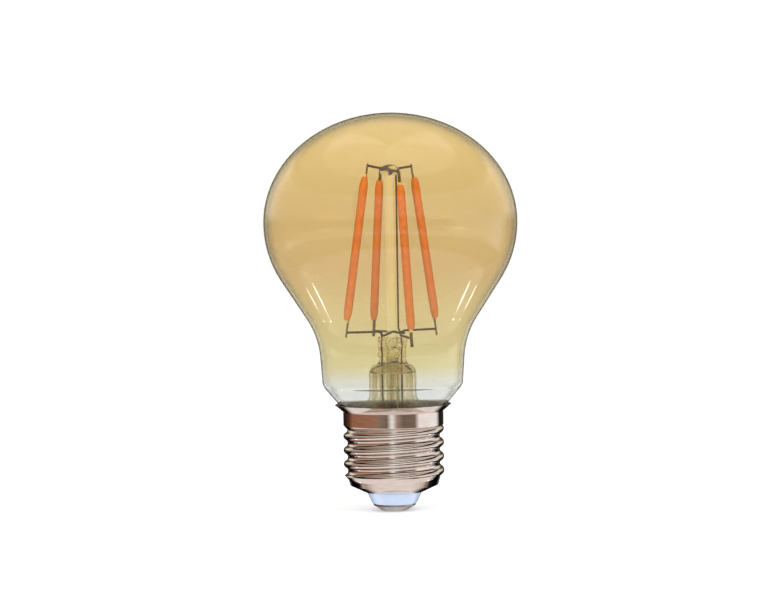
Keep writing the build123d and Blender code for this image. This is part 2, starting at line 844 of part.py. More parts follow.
with BuildPart() as radio_shield:
    with BuildSketch(Plane(origin=(*radio_place, shield_z))):
        with Locations(shield_shift):
            RectangleRounded(*shield_size, module_corner)
    extrude(amount=shield_height)
    fillet(radio_shield.edges().group_by(Axis.Z)[-1], end_fillet)
    offset(amount=-shield_wall, openings=radio_shield.faces().sort_by(Axis.Z)[0])
radio_shield.part.label = "radio_shield"
export_step(radio_shield.part, "parts/radio_shield.step")

# The antenna rises off the radio board and leans in, up through the flare beside the exhaust tube.
antenna_x = 3.0
antenna_y = 4.2
antenna_top_x = 1.2
antenna_wire = bend_wire(
    [
        (antenna_x, antenna_y, shield_z),
        (antenna_x, antenna_y, shield_z + 9),
        (antenna_top_x, antenna_y, shield_z + 12),
        (antenna_top_x, antenna_y, flare_bend_z + 1),
    ],
    outer_lead_diameter,
    lead_bend,
)
antenna_wire.label = "antenna_wire"
export_step(antenna_wire, "parts/antenna_wire.step")

with BuildPart() as chip_parts:
    with BuildSketch(Plane.XY.offset(board_top_z)):
        with GridLocations(chip_part_pitch, 0, 3, 1):
            with Locations((0, -8.3)):
                Rectangle(*chip_part_size)
        with Locations((-7.6, 0.8), (-7.0, 2.6), (6.8, -0.9), (7.2, 1.4), (6.6, 3.2)):
            Rectangle(*chip_part_size)
    extrude(amount=chip_part_height)
chip_parts.part.label = "chip_parts"
export_step(chip_parts.part, "parts/chip_parts.step")

with BuildPart() as bulk_capacitor:
    with BuildSketch(Plane(origin=(*can_place, board_z - can_height))):
        Circle(can_radius)
    extrude(amount=can_height)
    fillet(bulk_capacitor.edges().filter_by(GeomType.CIRCLE), end_fillet)
    with Locations((*can_place, board_z - can_groove_drop)):
        Torus(can_radius + fit_gap, end_fillet, mode=Mode.SUBTRACT)
bulk_capacitor.part.label = "bulk_capacitor"
export_step(bulk_capacitor.part, "parts/bulk_capacitor.step")

drum_bottom_z = board_z - drum_height
with BuildPart() as inductor_core:
    with BuildSketch(Plane(origin=(*drum_place, drum_bottom_z))):
        Circle(drum_core_radius)
    extrude(amount=drum_height)
    for flange_z in (drum_bottom_z, board_z - drum_flange):
        with BuildSketch(Plane(origin=(*drum_place, flange_z))):
            Circle(drum_radius)
        extrude(amount=drum_flange)
inductor_core.part.label = "inductor_core"
export_step(inductor_core.part, "parts/inductor_core.step")

with BuildPart() as inductor_winding:
    with BuildSketch(Plane(origin=(*drum_place, drum_bottom_z + drum_flange))):
        Circle(drum_radius - winding_inset)
        Circle(drum_core_radius, mode=Mode.SUBTRACT)
    extrude(amount=drum_height - 2 * drum_flange)
inductor_winding.part.label = "inductor_winding"
export_step(inductor_winding.part, "parts/inductor_winding.step")

resistor_z = board_z - resistor_drop
with BuildPart() as fusible_resistor:
    with BuildSketch(Plane(origin=(-resistor_length / 2, resistor_y, resistor_z), z_dir=(1, 0, 0))):
        Circle(resistor_radius)
    extrude(amount=resistor_length)
    fillet(fusible_resistor.edges().filter_by(GeomType.CIRCLE), end_fillet)
    resistor_lead = bend_wire(
        [
            (-resistor_span / 2, resistor_y, board_z),
            (-resistor_span / 2, resistor_y, resistor_z),
            (resistor_span / 2, resistor_y, resistor_z),
            (resistor_span / 2, resistor_y, board_z),
        ],
        outer_lead_diameter,
        lead_bend,
    )
    add(resistor_lead)
fusible_resistor.part.label = "fusible_resistor"
export_step(fusible_resistor.part, "parts/fusible_resistor.step")

# The live wire leaves the bore of the contact's pin and steps aside to its pad under the board.
live_x = 1.8
live_y = 1.8
live_wire = bend_wire(
    [
        (0, 0, pin_height - pin_bore_depth),
        (0, 0, pin_height + 1.4),
        (live_x, live_y, pin_height + 2.8),
        (live_x, live_y, board_z),
    ],
    cable_diameter - 2 * cable_gap,
    lead_bend,
)
live_wire.label = "live_wire"
export_step(live_wire, "parts/live_wire.step")

# The neutral wire climbs over the liner and is pinched against the shell under the cement.
neutral_z = (liner_top_z + seal_z) / 2
neutral_x = board_radius - 2 * lead_diameter
neutral_wire = bend_wire(
    [
        (neutral_x, 0, board_top_z),
        (neutral_x, 0, neutral_z),
        (core_radius - sheet - wire_gap, 0, neutral_z),
    ],
    lead_diameter,
    lead_bend,
)
neutral_wire.label = "neutral_wire"
export_step(neutral_wire, "parts/neutral_wire.step")
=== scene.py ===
"""The looks of an amber LED filament lamp on a screw cap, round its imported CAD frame. Metres, +Z up."""

from math import cos, pi, radians, sin

import bmesh
import bpy
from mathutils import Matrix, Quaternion, Vector, noise


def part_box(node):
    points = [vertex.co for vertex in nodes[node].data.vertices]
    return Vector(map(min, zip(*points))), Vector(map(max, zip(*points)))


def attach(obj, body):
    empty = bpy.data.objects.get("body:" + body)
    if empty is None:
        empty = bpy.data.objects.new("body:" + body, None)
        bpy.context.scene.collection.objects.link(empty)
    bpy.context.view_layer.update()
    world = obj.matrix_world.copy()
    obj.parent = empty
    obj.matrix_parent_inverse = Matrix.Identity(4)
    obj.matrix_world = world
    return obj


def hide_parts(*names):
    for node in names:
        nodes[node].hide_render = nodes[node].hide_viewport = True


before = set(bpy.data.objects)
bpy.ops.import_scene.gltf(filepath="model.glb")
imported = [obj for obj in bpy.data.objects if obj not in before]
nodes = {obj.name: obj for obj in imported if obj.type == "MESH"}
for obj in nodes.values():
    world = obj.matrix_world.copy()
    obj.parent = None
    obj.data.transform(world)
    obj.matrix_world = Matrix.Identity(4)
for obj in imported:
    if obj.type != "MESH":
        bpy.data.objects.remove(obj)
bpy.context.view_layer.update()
MM = 0.001


# ---- Camera -------------------------------------------------------------------------------------------

PICTURE_WIDTH = 0.2023  # across the picture, at the lamp's axis
CAMERA_DISTANCE = 0.45
CAMERA_HEIGHT = 0.0617
AIM = Vector((-0.00105, 0, 0.0549))
CAMERA_ROLL = 0.9

camera_data = bpy.data.cameras.new("camera")
camera_data.lens = camera_data.sensor_width * CAMERA_DISTANCE / PICTURE_WIDTH
camera_data.clip_start = 0.01
camera = bpy.data.objects.new("camera", camera_data)
bpy.context.scene.collection.objects.link(camera)
camera.location = (AIM.x, -CAMERA_DISTANCE, CAMERA_HEIGHT)
camera.rotation_mode = "QUATERNION"
camera.rotation_quaternion = (AIM - camera.location).to_track_quat("-Z", "Y") @ Quaternion(
    (0, 0, 1), -radians(CAMERA_ROLL)
)
bpy.context.scene.camera = camera


# ---- Shader and mesh helpers --------------------------------------------------------------------------


def colour(code):
    """A linear colour from an sRGB hex code."""
    parts = [int(code[i : i + 2], 16) / 255 for i in (0, 2, 4)]
    return (*[p / 12.92 if p <= 0.04045 else ((p + 0.055) / 1.055) ** 2.4 for p in parts], 1)


def add_node(tree, kind, inputs=None, stops=(), **settings):
    """Adds a node with its settings, links and colour stops.

    An input is a value or another node's output socket, and a stop is a (place, sRGB hex) pair.
    """
    node = tree.nodes.new(kind)
    for name, value in settings.items():
        setattr(node, name, value)
    for name, value in (inputs or {}).items():
        if isinstance(value, bpy.types.NodeSocket):
            tree.links.new(value, node.inputs[name])
        else:
            node.inputs[name].default_value = value
    if stops:
        elements = node.color_ramp.elements
        while len(elements) < len(stops):
            elements.new(0.5)
        for element, (place, code) in zip(elements, stops):
            element.position = place
            element.color = colour(code)
    return node


def new_material(name):
    """An empty node material, with its tree and its output node."""
    made = bpy.data.materials.new(name)
    made.use_nodes = True
    made.node_tree.nodes.clear()
    return made, made.node_tree, add_node(made.node_tree, "ShaderNodeOutputMaterial")


def height_share(tree, low, high):
    """How far up a point lies between two heights of the piece, from 0 to 1."""
    place = add_node(tree, "ShaderNodeTexCoord").outputs["Object"]
    split = add_node(tree, "ShaderNodeSeparateXYZ", {"Vector": place})
    share = add_node(
        tree, "ShaderNodeMapRange", {"Value": split.outputs["Z"], "From Min": low, "From Max": high}
    )
    return share.outputs["Result"]


def grain(tree, size, detail=4.0, stretch=(1, 1, 1)):
    """Noise from 0 to 1 whose lumps are about this many metres across."""
    place = add_node(tree, "ShaderNodeTexCoord").outputs["Object"]
    spread = add_node(tree, "ShaderNodeMapping", {"Vector": place, "Scale": stretch})
    lumps = {"Vector": spread.outputs["Vector"], "Scale": 1 / size, "Detail": detail}
    return add_node(tree, "ShaderNodeTexNoise", lumps).outputs["Fac"]


def give(finish, *names):
    """Gives CAD nodes a finish."""
    for name in names:
        mesh = nodes[name].data
        mesh.materials.clear()
        mesh.materials.append(finish)


def new_piece(name, mesh, slot, finish, *stands_for):
    """Puts a mesh in the scene as a piece of the lamp, with its finish and the CAD nodes it stands for."""
    mesh.materials.append(finish)
    mesh.shade_smooth()
    piece = bpy.data.objects.new(name, mesh)
    bpy.context.scene.collection.objects.link(piece)
    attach(piece, "root")
    if stands_for:
        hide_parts(*stands_for)
    return piece


def lathe(name, outline, turns, closed=False):
    """A mesh turned about Z from (radius, height) points. A point on the axis becomes one vertex."""
    build = bmesh.new()
    rings = []
    for radius, height in outline:
        if radius < 1e-7:
            rings.append([build.verts.new((0, 0, height))] * turns)
            continue
        angles = [2 * pi * i / turns for i in range(turns)]
        rings.append([build.verts.new((radius * cos(a), radius * sin(a), height)) for a in angles])
    pairs = list(zip(rings, rings[1:]))
    if closed:
        pairs.append((rings[-1], rings[0]))
    for low, high in pairs:
        for i in range(turns):
            corners = [low[i], low[(i + 1) % turns], high[(i + 1) % turns], high[i]]
            corners = list(dict.fromkeys(corners))
            if len(corners) > 2:
                build.faces.new(corners)
    bmesh.ops.recalc_face_normals(build, faces=build.faces)
    mesh = bpy.data.meshes.new(name)
    build.to_mesh(mesh)
    build.free()
    return mesh


# ---- Finishes -----------------------------------------------------------------------------------------


def through_glass(tree, output, shader, tint):
    """Lets lamp and sky light reach what the glass shuts in, tinted, and shows the shader to the eye."""
    path = add_node(tree, "ShaderNodeLightPath")
    either = add_node(
        tree,
        "ShaderNodeMath",
        {0: path.outputs["Is Shadow Ray"], 1: path.outputs["Is Diffuse Ray"]},
        operation="MAXIMUM",
    )
    clear = add_node(tree, "ShaderNodeBsdfTransparent", {"Color": tint})
    mix = add_node(
        tree,
        "ShaderNodeMixShader",
        {0: either.outputs[0], 1: shader, 2: clear.outputs["BSDF"]},
    )
    tree.links.new(mix.outputs["Shader"], output.inputs["Surface"])


def amber_lustre_glass():
    """Blown soda-lime glass with an amber lustre inside: honey round the globe, clear at the neck."""
    made, tree, output = new_material("amber_lustre_glass")
    low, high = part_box("glass_bulb")
    share = height_share(tree, low.z, high.z)
    # The tone changes with height only: nearly clear bluish white at the neck, deepest honey round the
    # middle of the globe, paler towards the crown.
    coat = add_node(
        tree,
        "ShaderNodeValToRGB",
        {"Fac": share},
        [
            (0.0, "E6E8EA"),
            (0.12, "E2E4E2"),
            (0.155, "E6E4D6"),
            (0.19, "E6E0C0"),
            (0.35, "E8DCB6"),
            (0.5, "E7D4AC"),
            (0.72, "EAD8AE"),
            (0.86, "F2E0B4"),
            (1.0, "F8E8C2"),
        ],
    ).outputs["Color"]
    # Darker olive where the glass is seen edge on: partly the longer path through the tinted wall, partly
    # painted shade for the dark rim lines that refraction of dark surroundings gives.
    edge = add_node(tree, "ShaderNodeLayerWeight", {"Blend": 0.5}).outputs["Facing"]
    depth = add_node(tree, "ShaderNodeMapRange", {"Value": edge, "From Min": 0.66, "From Max": 0.97})
    rim = add_node(
        tree,
        "ShaderNodeMix",
        {"Factor": depth.outputs["Result"], "A": coat, "B": colour("6E6440")},
        data_type="RGBA",
    )
    shader = add_node(
        tree,
        "ShaderNodeBsdfPrincipled",
        {
            "Base Color": rim.outputs["Result"],
            "Roughness": 0.0,
            "IOR": 1.5,
            "Transmission Weight": 1.0,
        },
    )
    through_glass(tree, output, shader.outputs["BSDF"], coat)
    return made


def stem_glass(name, body):
    """Flame-worked clear glass: a faint grey-green body under a polished skin that is never quite flat."""
    made, tree, output = new_material(name)
    waves = grain(tree, 2.5 * MM, 1.0, (1, 1, 0.4))
    skin = add_node(tree, "ShaderNodeBump", {"Height": waves, "Distance": 0.15 * MM})
    shader = add_node(
        tree,
        "ShaderNodeBsdfPrincipled",
        {
            "Base Color": colour(body),
            "Roughness": 0.02,
            "IOR": 1.52,
            "Transmission Weight": 1.0,
            "Normal": skin.outputs["Normal"],
        },
    )
    through_glass(tree, output, shader.outputs["BSDF"], colour("EDEFE8"))
    return made


def flare_glass():
    """Thin drawn tube: clear face on, grey-green where the wall is seen edge on (partly its longer path
    through the glass, partly painted shade), with faint draw lines.
    """
    made, tree, output = new_material("flare_tube_glass")
    edge = add_node(tree, "ShaderNodeLayerWeight", {"Blend": 0.5}).outputs["Facing"]
    # The edge-on darkening is partly the wall's longer path through the glass and partly painted shade,
    # standing in for the dark that refraction shows at a tube's edges.
    wall = add_node(
        tree,
        "ShaderNodeValToRGB",
        {"Fac": edge},
        [(0.0, "FFFEF8"), (0.72, "FAF6E8"), (0.9, "DED8BE"), (1.0, "9A9270")],
    )
    draw = grain(tree, 1.1 * MM, 2.0, (1, 1, 0.04))
    lines = add_node(tree, "ShaderNodeValToRGB", {"Fac": draw}, [(0.36, "E0D8B8"), (0.56, "FFFFFF")])
    tint = add_node(
        tree,
        "ShaderNodeMix",
        {"Factor": 0.8, "A": wall.outputs["Color"], "B": lines.outputs["Color"]},
        data_type="RGBA",
        blend_type="MULTIPLY",
    )
    clear = add_node(tree, "ShaderNodeBsdfTransparent", {"Color": tint.outputs["Result"]})
    polish = add_node(tree, "ShaderNodeBsdfGlossy", {"Color": colour("F4F4F0"), "Roughness": 0.08})
    shine = add_node(tree, "ShaderNodeMapRange", {"Value": edge, "To Min": 0.02, "To Max": 0.2})
    mix = add_node(
        tree,
        "ShaderNodeMixShader",
        {0: shine.outputs["Result"], 1: clear.outputs["BSDF"], 2: polish.outputs["BSDF"]},
    )
    tree.links.new(mix.outputs["Shader"], output.inputs["Surface"])
    return made


def milky_glass_painted_glow():
    """A rod of drawn glass full of fine bubbles that scatter light, with a faint painted glow that makes it
    read as a pale cream rod.
    """
    made, tree, output = new_material("milky_rod_glass_painted_glow")
    streaks = grain(tree, 0.7 * MM, 2.0, (1, 1, 0.05))
    cream = add_node(tree, "ShaderNodeValToRGB", {"Fac": streaks}, [(0.3, "E6E8E0"), (0.7, "F8FBF4")])
    # Painted glow: a faint cream emission that makes the unlit rod read paler.
    shader = add_node(
        tree,
        "ShaderNodeBsdfPrincipled",
        {
            "Base Color": cream.outputs["Color"],
            "Roughness": 0.2,
            "IOR": 1.3,
            "Transmission Weight": 0.8,
            "Emission Color": colour("F2F4E4"),
            "Emission Strength": 0.13,
        },
    )
    tree.links.new(shader.outputs["BSDF"], output.inputs["Surface"])
    return made


def phosphor_silicone():
    """Silicone cast over the chips, full of orange phosphor: soft, slightly waxy, a darker orange towards
    its edges as seen.
    """
    made, tree, output = new_material("phosphor_silicone")
    cloud = grain(tree, 1.2 * MM, 3.0)
    body = add_node(tree, "ShaderNodeValToRGB", {"Fac": cloud}, [(0.3, "DC8C52"), (0.7, "E7A268")])
    # A darker orange towards the edges as seen, growing as the face turns away from the view.
    edge = add_node(tree, "ShaderNodeLayerWeight", {"Blend": 0.5}).outputs["Facing"]
    toward_edges = add_node(tree, "ShaderNodeMapRange", {"Value": edge, "To Min": 0.0, "To Max": 0.85})
    tone = add_node(
        tree,
        "ShaderNodeMix",
        {"Factor": toward_edges.outputs["Result"], "A": body.outputs["Color"], "B": colour("A85420")},
        data_type="RGBA",
    )
    polish = add_node(tree, "ShaderNodeMapRange", {"Value": cloud, "To Min": 0.38, "To Max": 0.55})
    skin = add_node(tree, "ShaderNodeBump", {"Height": grain(tree, 0.5 * MM), "Distance": 0.03 * MM})
    shader = add_node(
        tree,
        "ShaderNodeBsdfPrincipled",
        {
            "Base Color": tone.outputs["Result"],
            "Roughness": polish.outputs["Result"],
            "IOR": 1.41,
            "Subsurface Weight": 0.35,
            "Subsurface Radius": (0.9, 0.35, 0.12),
            "Subsurface Scale": 0.8 * MM,
            "Normal": skin.outputs["Normal"],
        },
    )
    tree.links.new(shader.outputs["BSDF"], output.inputs["Surface"])
    return made


def metal(name, light, dark, rough_low, rough_high, size, stretch=(1, 1, 1), depth=0.004 * MM):
    """A metal whose tone and polish drift over lumps of one size, as plating and handling leave them."""
    made, tree, output = new_material(name)
    cloud = grain(tree, size, 5.0, stretch)
    tone = add_node(tree, "ShaderNodeValToRGB", {"Fac": cloud}, [(0.3, dark), (0.7, light)])
    polish = add_node(
        tree, "ShaderNodeMapRange", {"Value": cloud, "To Min": rough_low, "To Max": rough_high}
    )
    marks = grain(tree, size / 8, 3.0, stretch)
    skin = add_node(tree, "ShaderNodeBump", {"Height": marks, "Distance": depth})
    shader = add_node(
        tree,
        "ShaderNodeBsdfPrincipled",
        {
            "Base Color": tone.outputs["Color"],
            "Metallic": 1.0,
            "Roughness": polish.outputs["Result"],
            "Normal": skin.outputs["Normal"],
        },
    )
    tree.links.new(shader.outputs["BSDF"], output.inputs["Surface"])
    return made


def solid(name, light, dark, roughness, size, ior=1.5, depth=0.02 * MM, coat=0.0):
    """A moulded, baked or lacquered surface with a soft drift of tone and a fine texture."""
    made, tree, output = new_material(name)
    cloud = grain(tree, size)
    tone = add_node(tree, "ShaderNodeValToRGB", {"Fac": cloud}, [(0.3, dark), (0.7, light)])
    polish = add_node(
        tree,
        "ShaderNodeMapRange",
        {"Value": cloud, "To Min": roughness * 0.85, "To Max": roughness * 1.15},
    )
    skin = add_node(tree, "ShaderNodeBump", {"Height": grain(tree, size / 4), "Distance": depth})
    shader = add_node(
        tree,
        "ShaderNodeBsdfPrincipled",
        {
            "Base Color": tone.outputs["Color"],
            "Roughness": polish.outputs["Result"],
            "IOR": ior,
            "Coat Weight": coat,
            "Normal": skin.outputs["Normal"],
        },
    )
    tree.links.new(shader.outputs["BSDF"], output.inputs["Surface"])
    return made


# ---- The bulb -----------------------------------------------------------------------------------------


def arc(centre, radius, start, end, steps):
    """Points along an arc, at angles in degrees, as (radius, height) pairs."""
    angles = [radians(start + (end - start) * i / steps) for i in range(steps + 1)]
    return [(centre[0] + radius * cos(a), centre[1] + radius * sin(a)) for a in angles]


# Sizes in mm, as the part has them. The outline runs from the crown down to the seal in the cap.
GLASS_WALL = 0.8
GLOBE_RADIUS = 33.05
CROWN_HEIGHT = 28.45
SHOULDER_RADIUS = 27.56
FLANK_ANGLE = 33.0
FLANK_LENGTH = 11.63
WAIST_RADIUS = 21.8
NECK_ANGLE = 3.9
NECK_LENGTH = 6.3
CORNER_RADIUS = 3.0
MOUTH_ANGLE = 40.0
MOUTH_LENGTH = 7.3
SEAL_BLEND_RADIUS = 4.0
SEAL_HEIGHT = 1.4


def facing(angle):
    """A unit vector away from the axis, this far below level."""
    return Vector((cos(radians(angle)), -sin(radians(angle))))


def leaning(angle):
    """A unit vector down a wall that leans in by this angle."""
    return Vector((-sin(radians(angle)), -cos(radians(angle))))


def bulb_outline(inset):
    """The blown outline in mm, this far inside the outer face, from the crown to the seal."""
    shoulder = Vector((GLOBE_RADIUS - SHOULDER_RADIUS, 0))
    flank_top = shoulder + facing(FLANK_ANGLE) * SHOULDER_RADIUS
    flank_foot = flank_top + leaning(FLANK_ANGLE) * FLANK_LENGTH
    waist = flank_foot + facing(FLANK_ANGLE) * WAIST_RADIUS
    neck_foot = waist - facing(NECK_ANGLE) * WAIST_RADIUS + leaning(NECK_ANGLE) * NECK_LENGTH
    corner = neck_foot - facing(NECK_ANGLE) * CORNER_RADIUS
    mouth_foot = corner + facing(MOUTH_ANGLE) * CORNER_RADIUS + leaning(MOUTH_ANGLE) * MOUTH_LENGTH
    seal = mouth_foot + facing(MOUTH_ANGLE) * SEAL_BLEND_RADIUS
    side, crown = GLOBE_RADIUS - inset, CROWN_HEIGHT - inset
    points = [(side * cos(radians(90 - a)), crown * sin(radians(90 - a))) for a in range(0, 90, 2)]
    points += arc(shoulder, SHOULDER_RADIUS - inset, 0, -FLANK_ANGLE, 24)
    flank = arc(waist, WAIST_RADIUS + inset, 180 - FLANK_ANGLE, 180 - NECK_ANGLE, 24)
    points += [tuple(Vector(points[-1]).lerp(Vector(flank[0]), i / 10)) for i in range(1, 10)]
    points += flank
    points += arc(corner, CORNER_RADIUS - inset, -NECK_ANGLE, -MOUTH_ANGLE, 8)
    points += arc(seal, SEAL_BLEND_RADIUS + inset, 180 - MOUTH_ANGLE, 180, 8)
    points.append((seal.x - SEAL_BLEND_RADIUS - inset, seal.y - SEAL_HEIGHT))
    return points


def blown_bulb():
    """The bulb as one closed wall of glass, fine enough that its highlights run smoothly."""
    outer, inner = bulb_outline(0), bulb_outline(GLASS_WALL)
    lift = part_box("glass_bulb")[0].z - outer[-1][1] * MM
    outline = [(r * MM, z * MM + lift) for r, z in outer + inner[::-1]]
    return lathe("blown_bulb", outline, 160)


# ---- The stem -----------------------------------------------------------------------------------------

# Sizes in mm, as the part has them. The heights are from the foot of the lamp.
FLARE_RADIUS = 6.15
FLARE_WALL = 0.9
FLARE_BEND_Z = 30.5
FLARE_BEND_RADIUS = 2.0
FLARE_ANGLE = 75.0
FLARE_TOP_Z = 36.0
PRESS_Z = (38.3, 45.5)
PRESS_HALF_WIDTH = 3.6
PRESS_FLAT = 0.75
PRESS_SIDE_BEAD = 0.85
PRESS_MIDDLE_BEAD = 0.8
PRESS_MIDDLE_SHARE = 0.42  # of the half width that the middle bead takes
PRESS_FATNESS = 1.25
PRESS_LUMPS = ((0.6, 0.9), (1.5, 0.4))  # lumps to a mm, and how far they stand out
BORE_DOME_HEIGHT = 1.8
COLUMN_RADIUS = 1.4
COLUMN_WAVE = 0.035
COLUMN_WAVE_PACE = 0.35  # waves to a mm
BUTTON_ROUNDNESS = 0.8
BUTTON_FULLNESS = 0.97
BUTTON_DROOP = 0.12  # how much fatter its lower half is


def turned_flare():
    """The flare as one smooth wall: a tube that turns out at its foot to meet the neck."""
    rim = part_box("stem_flare")[1].x / MM
    seal_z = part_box("stem_flare")[0].z / MM
    centre = (FLARE_RADIUS + FLARE_BEND_RADIUS, FLARE_BEND_Z)
    outer = arc(centre, FLARE_BEND_RADIUS, 180, 180 + FLARE_ANGLE, 12)
    inner = arc(centre, FLARE_BEND_RADIUS + FLARE_WALL, 180, 180 + FLARE_ANGLE, 12)
    fall = cos(radians(FLARE_ANGLE)) / sin(radians(FLARE_ANGLE))
    outer_rim_z = outer[-1][1] - (rim - outer[-1][0]) * fall
    inner_rim_z = inner[-1][1] - (rim - FLARE_WALL - inner[-1][0]) * fall
    outline = [(FLARE_RADIUS, FLARE_TOP_Z), *outer, (rim, outer_rim_z), (rim, seal_z)]
    outline += [(rim - FLARE_WALL, seal_z), (rim - FLARE_WALL, inner_rim_z), *inner[::-1]]
    outline.append((FLARE_RADIUS - FLARE_WALL, FLARE_TOP_Z))
    return lathe("turned_flare", [(r * MM, z * MM) for r, z in outline], 96, closed=True)


def press_ring(height, turns):
    """One level of the press: round at its foot, then a flat with a bead at its middle and at each side."""
    low, high = PRESS_Z
    pinch = min(max((height - FLARE_TOP_Z) / (low - FLARE_TOP_Z), 0.0), 1.0)
    squeeze = 1 - (1 - pinch**2) ** 0.5 if pinch < 1 else 1.0
    points = []
    for i in range(turns):
        angle = 2 * pi * i / turns
        across, depth = cos(angle), sin(angle)
        middle = max(0.0, 1 - (across / PRESS_MIDDLE_SHARE) ** 2)
        bead = PRESS_FLAT + PRESS_SIDE_BEAD * across**4 + PRESS_MIDDLE_BEAD * middle
        flat = Vector((PRESS_HALF_WIDTH * across, bead * PRESS_FATNESS * depth, 0))
        round_wall = Vector((FLARE_RADIUS * across, FLARE_RADIUS * depth, 0))
        point = round_wall.lerp(flat, squeeze) + Vector((0, 0, height))
        swell = squeeze * sum(noise.noise(point * pace) * reach for pace, reach in PRESS_LUMPS)
        outwards = Vector((point.x, point.y, 0)).normalized()
        points.append((point + outwards * swell) * MM)
    return points


def pinched_press():
    """The press as the tongs left it, soft and uneven, with the flare's bore closed to a dome under it."""
    turns = 72
    build = bmesh.new()
    high = PRESS_Z[1]
    levels = [FLARE_TOP_Z + (high - FLARE_TOP_Z) * (i / 40) for i in range(41)]
    rings = [[build.verts.new(p) for p in press_ring(z, turns)] for z in levels]
    bore = FLARE_RADIUS - FLARE_WALL
    dome = []
    for step in range(9):
        turn = radians(90 * step / 9)
        radius, height = bore * cos(turn) * MM, (FLARE_TOP_Z + BORE_DOME_HEIGHT * sin(turn)) * MM
        angles = [2 * pi * i / turns for i in range(turns)]
        ring = [(radius * cos(a), radius * sin(a), height) for a in angles]
        dome.append([build.verts.new(p) for p in ring])
    for low_ring, high_ring in [*zip(rings, rings[1:]), (dome[0], rings[0]), *zip(dome, dome[1:])]:
        for i in range(turns):
            j = (i + 1) % turns
            build.faces.new([low_ring[i], low_ring[j], high_ring[j], high_ring[i]])
    build.faces.new(rings[-1])
    build.faces.new(dome[-1])
    bmesh.ops.recalc_face_normals(build, faces=build.faces)
    mesh = bpy.data.meshes.new("pinched_press")
    build.to_mesh(mesh)
    build.free()
    return mesh


def drawn_column():
    """The column as one fine rod, with the faint waviness of drawn glass along it."""
    low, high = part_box("centre_column")
    outline = [(0, low.z)]
    for step in range(121):
        height = low.z + (high.z - low.z) * step / 120
        wave = COLUMN_WAVE * noise.noise(Vector((0, 0, height / MM * COLUMN_WAVE_PACE))) - COLUMN_WAVE
        outline.append(((COLUMN_RADIUS + wave) * MM, height))
    outline.append((0, high.z))
    return lathe("drawn_column", outline, 48)


def melted_button():
    """The button that holds the top wires: a drop of glass, rounded by the flame and a little lopsided."""
    low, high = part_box("top_button")
    middle, half = (low.z + high.z) / 2, (high.z - low.z) / 2
    outline = []
    for step in range(25):
        turn = radians(-90 + 180 * step / 24)
        radius = high.x * cos(turn) ** BUTTON_ROUNDNESS if abs(cos(turn)) > 1e-6 else 0
        radius *= BUTTON_FULLNESS - BUTTON_DROOP * sin(turn)
        outline.append((radius, middle + half * sin(turn)))
    return lathe("melted_button", outline, 48)


# ---- Finishes on their pieces -------------------------------------------------------------------------

new_piece("blown_bulb", blown_bulb(), "amber_glass", amber_lustre_glass(), "glass_bulb")

tube_glass = flare_glass()
press_glass = stem_glass("worked_press_glass", "E0D8BC")
button_glass = stem_glass("melted_button_glass", "F2EEDC")
new_piece("turned_flare", turned_flare(), "stem_glass", tube_glass, "stem_flare")
new_piece("pinched_press", pinched_press(), "stem_glass", press_glass, "stem_press")
new_piece("drawn_column", drawn_column(), "stem_glass", milky_glass_painted_glow(), "centre_column")
new_piece("melted_button", melted_button(), "stem_glass", button_glass, "top_button")
give(tube_glass, "exhaust_tube")

phosphor = phosphor_silicone()
# Sintered alumina: an eggshell white, matt and faintly mottled.
alumina = solid("sintered_alumina", "E9E6DC", "D9D5C8", 0.5, 0.6 * MM)
# Sapphire dies: small blue-grey faces with a sharp shine.
chip_die = solid("led_die", "A8B6C9", "8C9DB5", 0.2, 0.4 * MM)
# Steel tabs heated by the welds: straw-brown metal with a dull shine.
stamped_steel = metal("stamped_tab_steel", "8A7C5C", "4E442E", 0.28, 0.45, 0.8 * MM)
for number in range(1, 5):
    give(phosphor, f"filament_{number}_coat")
    give(alumina, f"filament_{number}_strip")
    give(chip_die, f"filament_{number}_chips")
    give(stamped_steel, f"filament_{number}_foot_tab", f"filament_{number}_head_tab")

# Drawn nickel wire, heated at the welds: a dark brown skin over grey metal.
drawn_nickel = metal("drawn_nickel_wire", "64502C", "2E2412", 0.3, 0.5, 1.0 * MM)
give(
    drawn_nickel,
    "lower_lead",
    "bridge_wire",
    "front_arm",
    "back_arm",
    "riser_wire",
    "outer_top_wire",
    "inner_top_wire",
    "outer_lead_left",
    "outer_lead_right",
    "neutral_wire",
)
# Copper-sheathed wire that glass wets: dull red inside the press.
give(metal("dumet_wire", "9A5236", "6A3422", 0.35, 0.5, 0.5 * MM), "seal_wire_left", "seal_wire_right")

# Bright nickel plate on rolled brass: warm, with clear reflections and faint drawing marks round it.
nickel_plate = metal(
    "bright_nickel_plate", "EEE6E0", "E0D6CE", 0.05, 0.12, 3.0 * MM, (1, 1, 5), 0.001 * MM
)
give(nickel_plate, "screw_shell")
# Tinned brass: a soft grey shine, clouded where it has been handled.
give(metal("tinned_contact", "C3C4C2", "A9AAA8", 0.25, 0.38, 2.0 * MM), "contact_plate", "contact_pin")
# Glass insulator poured into the cap: pale blue with a wet, even gloss.
insulator = solid("glazed_insulator", "B9C9E1", "B1C2DB", 0.16, 3.0 * MM, 1.55, 0.01 * MM, 0.4)
give(insulator, "cap_insulator")
# Basing cement baked in the cap: an olive-black, gritty ring behind the glass.
give(solid("baked_cement", "3C3C22", "232412", 0.85, 0.7 * MM, 1.5, 0.08 * MM), "basing_cement")

# Moulded polymer: an off-white satin cup.
give(solid("liner_polymer", "EDEBE4", "E2DFD6", 0.45, 2.0 * MM), "liner_cup")
# Solder mask over copper and glass cloth: an even green with a low gloss.
give(solid("solder_mask", "1E5B34", "174A2A", 0.35, 1.5 * MM), "driver_board", "radio_board")
# Moulded epoxy packages: near black, with a fine dry grain.
epoxy = solid("moulded_epoxy", "26262A", "1B1B1E", 0.6, 0.3 * MM)
give(epoxy, "bridge_rectifier", "driver_chip", "chip_parts")
